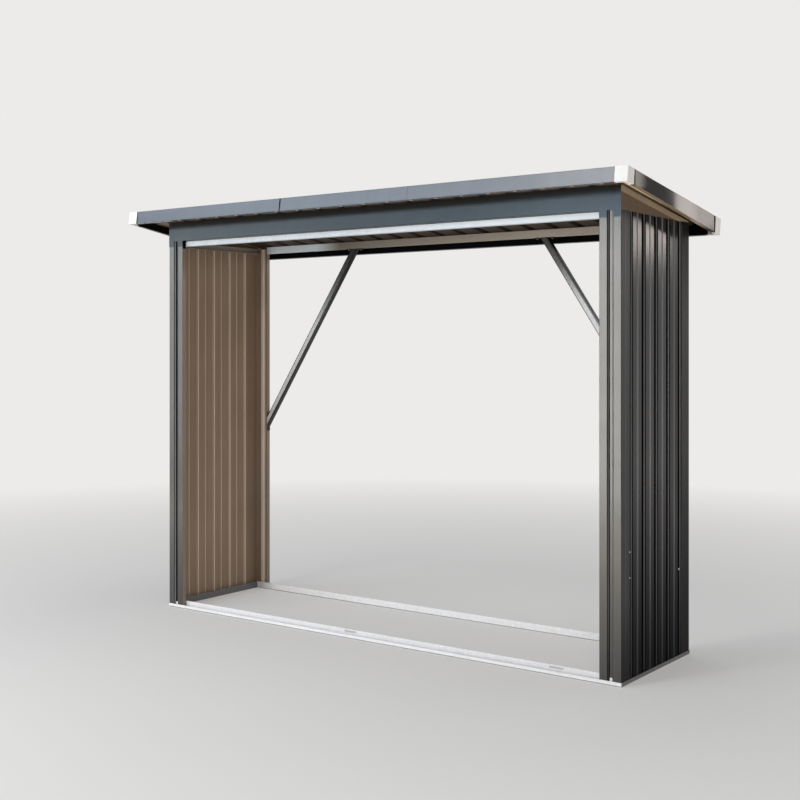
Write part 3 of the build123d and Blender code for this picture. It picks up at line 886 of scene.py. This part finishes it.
def rib_clips():
    """Small folded clips that tie the roof ribs to the lower return of the front trim."""
    foot = (CLIP_WIDTH / 2, CLIP_DEPTH / 2, CLIP_HALF_SHEET)
    leg = (CLIP_WIDTH / 2, CLIP_HALF_SHEET, CLIP_HALF_DROP)
    bm = bmesh.new()
    for k in range(-RIB_HALF_COUNT, RIB_HALF_COUNT + 1):
        for (along, drop), half in ((CLIP_FOOT, foot), (CLIP_LEG, leg)):
            block(bm, on_roof(k * RIB_PITCH, along, -FASCIA_DROP - drop), ROOF_AXES, half)
    return mesh_object("rib_clips", bm, clip_steel)


def wall_screws():
    """Screws through the lower part of each side wall."""
    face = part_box("wall_sheet_right")[1].x + PROUD
    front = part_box("base_rail_front")[0].y
    places = []
    for side in (-1, 1):
        for depth, height in WALL_SCREW_PLACES:
            places.append(((side * face, front + depth, height), (side, 0, 0)))
    return screws("wall_screws", places, screw_zinc, WALL_SCREW_SCALE)


def brace_bolts():
    """Hexagon bolts in the tabs at both ends of the braces."""
    low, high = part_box("back_brace_right")
    bm = bmesh.new()
    y = (low.y + high.y) / 2
    for side in (-1, 1):
        for offset in (-BOLT_SPREAD, BOLT_SPREAD):
            upper = Vector((side * (BRACE_TOP[0] + offset), y, high.z - BRACE_TAB))
            hex_bolt(bm, upper, Vector((0, 0, -1)))
            lower = Vector((side * (high.x - BRACE_TAB), y, BRACE_FOOT[1] + offset))
            hex_bolt(bm, lower, Vector((-side, 0, 0)))
    return mesh_object("brace_bolts", bm, screw_paint)


def beam_screws():
    """Screws at the ends of the rear and the side channels."""
    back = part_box("top_beam_back")[0]
    near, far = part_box("top_beam_right")
    places = []
    for side in (-1, 1):
        places.append(((side * BACK_SCREW_X, back.y - PROUD, back.z + BACK_SCREW_RISE), (0, -1, 0)))
        for y in (near.y + SIDE_SCREW_INSET, far.y - SIDE_SCREW_INSET):
            places.append(((side * SIDE_SCREW_X, y, near.z - PROUD), (0, 0, -1)))
    return screws("beam_screws", places, screw_zinc, BEAM_SCREW_SCALE)


def roof_screws():
    """Painted screws with washers on the crowns of the roof ribs, over the channels."""
    places = []
    for along in ROOF_SCREW_ROWS:
        for k in range(-RIB_HALF_COUNT, RIB_HALF_COUNT + 1, 2):
            lapped = (k + RIB_HALF_COUNT) % 4 == 0 and abs(k) < RIB_HALF_COUNT
            lap = LAP_RISE if lapped else 0.0
            places.append((on_roof(k * RIB_PITCH, along, CROWN + lap), ROOF_UP))
    return screws("roof_screws", places, screw_paint, ROOF_SCREW_SCALE)


def joint_shadow_strips():
    """Dark strips in the butt joints of the front and back trims, painting the shadow in their gaps."""
    bm = bmesh.new()
    for x, half in ((-FASCIA_JOINT, LEFT_JOINT_STRIP_HALF), (FASCIA_JOINT, RIGHT_JOINT_STRIP_HALF)):
        for along, drop in ((0.0, FASCIA_DROP), (ROOF_LENGTH, FASCIA_DROP_BACK)):
            middle = (FASCIA_TOP - drop) / 2
            reach = (FASCIA_TOP + drop) / 2 - JOINT_STRIP_INSET
            block(bm, on_roof(x, along, middle), ROOF_AXES, (half, JOINT_STRIP_HALF_DEPTH, reach))
    return mesh_object("joint_shadow_strips", bm, joint_shadow_paint)


def foot_tabs():
    """Small upright tabs in the open feet of the post grooves."""
    bm = bmesh.new()
    axes = (Vector((1, 0, 0)), Vector((0, 1, 0)), Vector((0, 0, 1)))
    for node in ("post_front_left", "post_front_right", "post_back_left", "post_back_right"):
        low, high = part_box(node)
        side = 1 if high.x > 0 else -1
        end = 1 if high.y > 0 else -1
        y = (low.y if end < 0 else high.y) - end * TAB_INSET
        block(bm, (side * GROOVE_X, y, TAB_HEIGHT), axes, TAB_HALF)
    return mesh_object("foot_tabs", bm, rail_zinc)


rib_clips()
wall_screws()
brace_bolts()
beam_screws()
roof_screws()
joint_shadow_strips()
foot_tabs()


# Camera, floor, lamps and world
def make_camera():
    data = bpy.data.cameras.new("camera")
    data.sensor_width = SENSOR
    data.lens = CAMERA_LENS
    data.shift_y = CAMERA_SHIFT_Y
    data.clip_end = CLIP_END
    camera = link_object("camera", data)
    camera.location = CAMERA_PLACE
    camera.rotation_euler = (math.radians(90), 0, math.radians(CAMERA_YAW))
    bpy.context.scene.camera = camera


def seen_directly(tree):
    """1 for camera, mirror and see-through rays, 0 for rays that carry light to a surface."""
    path = add_node(tree, "ShaderNodeLightPath")
    seen = either(tree, path.outputs["Is Camera Ray"], path.outputs["Is Glossy Ray"])
    return either(tree, seen, path.outputs["Is Transmission Ray"])


def make_floor():
    """Pale floor that fades to the backdrop far from the store and keeps its shadow."""
    bm = bmesh.new()
    bmesh.ops.create_grid(bm, x_segments=1, y_segments=1, size=FLOOR_REACH)
    mesh = bpy.data.meshes.new("floor")
    bm.to_mesh(mesh)
    bm.free()
    floor = link_object("floor", mesh)
    material, tree, shader = new_material("floor")
    shader.inputs["Base Color"].default_value = FLOOR_PALE + (1.0,)
    shader.inputs["Roughness"].default_value = FLOOR_ROUGHNESS
    shader.inputs["Specular IOR Level"].default_value = FLOOR_SPECULAR
    place = add_node(tree, "ShaderNodeTexCoord")
    length = add_node(tree, "ShaderNodeVectorMath", operation="LENGTH")
    tree.links.new(place.outputs["Object"], length.inputs[0])
    fade = remap(tree, length.outputs["Value"], *FLOOR_FADE)
    pale = add_node(tree, "ShaderNodeEmission")
    pale.inputs["Color"].default_value = BACKDROP + (1.0,)
    mix = add_node(tree, "ShaderNodeMixShader")
    tree.links.new(both(tree, fade, seen_directly(tree)), mix.inputs["Fac"])
    tree.links.new(shader.outputs["BSDF"], mix.inputs[1])
    tree.links.new(pale.outputs["Emission"], mix.inputs[2])
    tree.links.new(mix.outputs["Shader"], tree.nodes["Material Output"].inputs["Surface"])
    mesh.materials.append(material)


def make_lamp(name, place, target, size, power, colour):
    data = bpy.data.lights.new(name, "AREA")
    data.shape = "RECTANGLE"
    data.size = size[0]
    data.size_y = size[1]
    data.energy = power
    data.color = colour
    lamp = link_object(name, data)
    lamp.location = place
    lamp.rotation_euler = (Vector(target) - Vector(place)).to_track_quat("-Z", "Y").to_euler()
    lamp.visible_camera = False
    lamp.visible_glossy = name != NOT_MIRRORED


def make_world():
    """Soft light from all round, and a plain pale backdrop where it is seen."""
    world = bpy.data.worlds.new("world")
    bpy.context.scene.world = world
    world.use_nodes = True
    tree = world.node_tree
    tree.nodes.clear()
    soft = add_node(tree, "ShaderNodeBackground")
    soft.inputs["Color"].default_value = SKY_FILL + (1.0,)
    soft.inputs["Strength"].default_value = SKY_FILL_STRENGTH
    pale = add_node(tree, "ShaderNodeBackground")
    pale.inputs["Color"].default_value = BACKDROP + (1.0,)
    pale.inputs["Strength"].default_value = 1.0
    mix = add_node(tree, "ShaderNodeMixShader")
    out = add_node(tree, "ShaderNodeOutputWorld")
    tree.links.new(seen_directly(tree), mix.inputs["Fac"])
    tree.links.new(soft.outputs["Background"], mix.inputs[1])
    tree.links.new(pale.outputs["Background"], mix.inputs[2])
    tree.links.new(mix.outputs["Shader"], out.inputs["Surface"])


make_camera()
make_floor()
make_world()
for lamp_values in LAMPS:
    make_lamp(*lamp_values)

scene = bpy.context.scene
scene.view_settings.view_transform = "Standard"
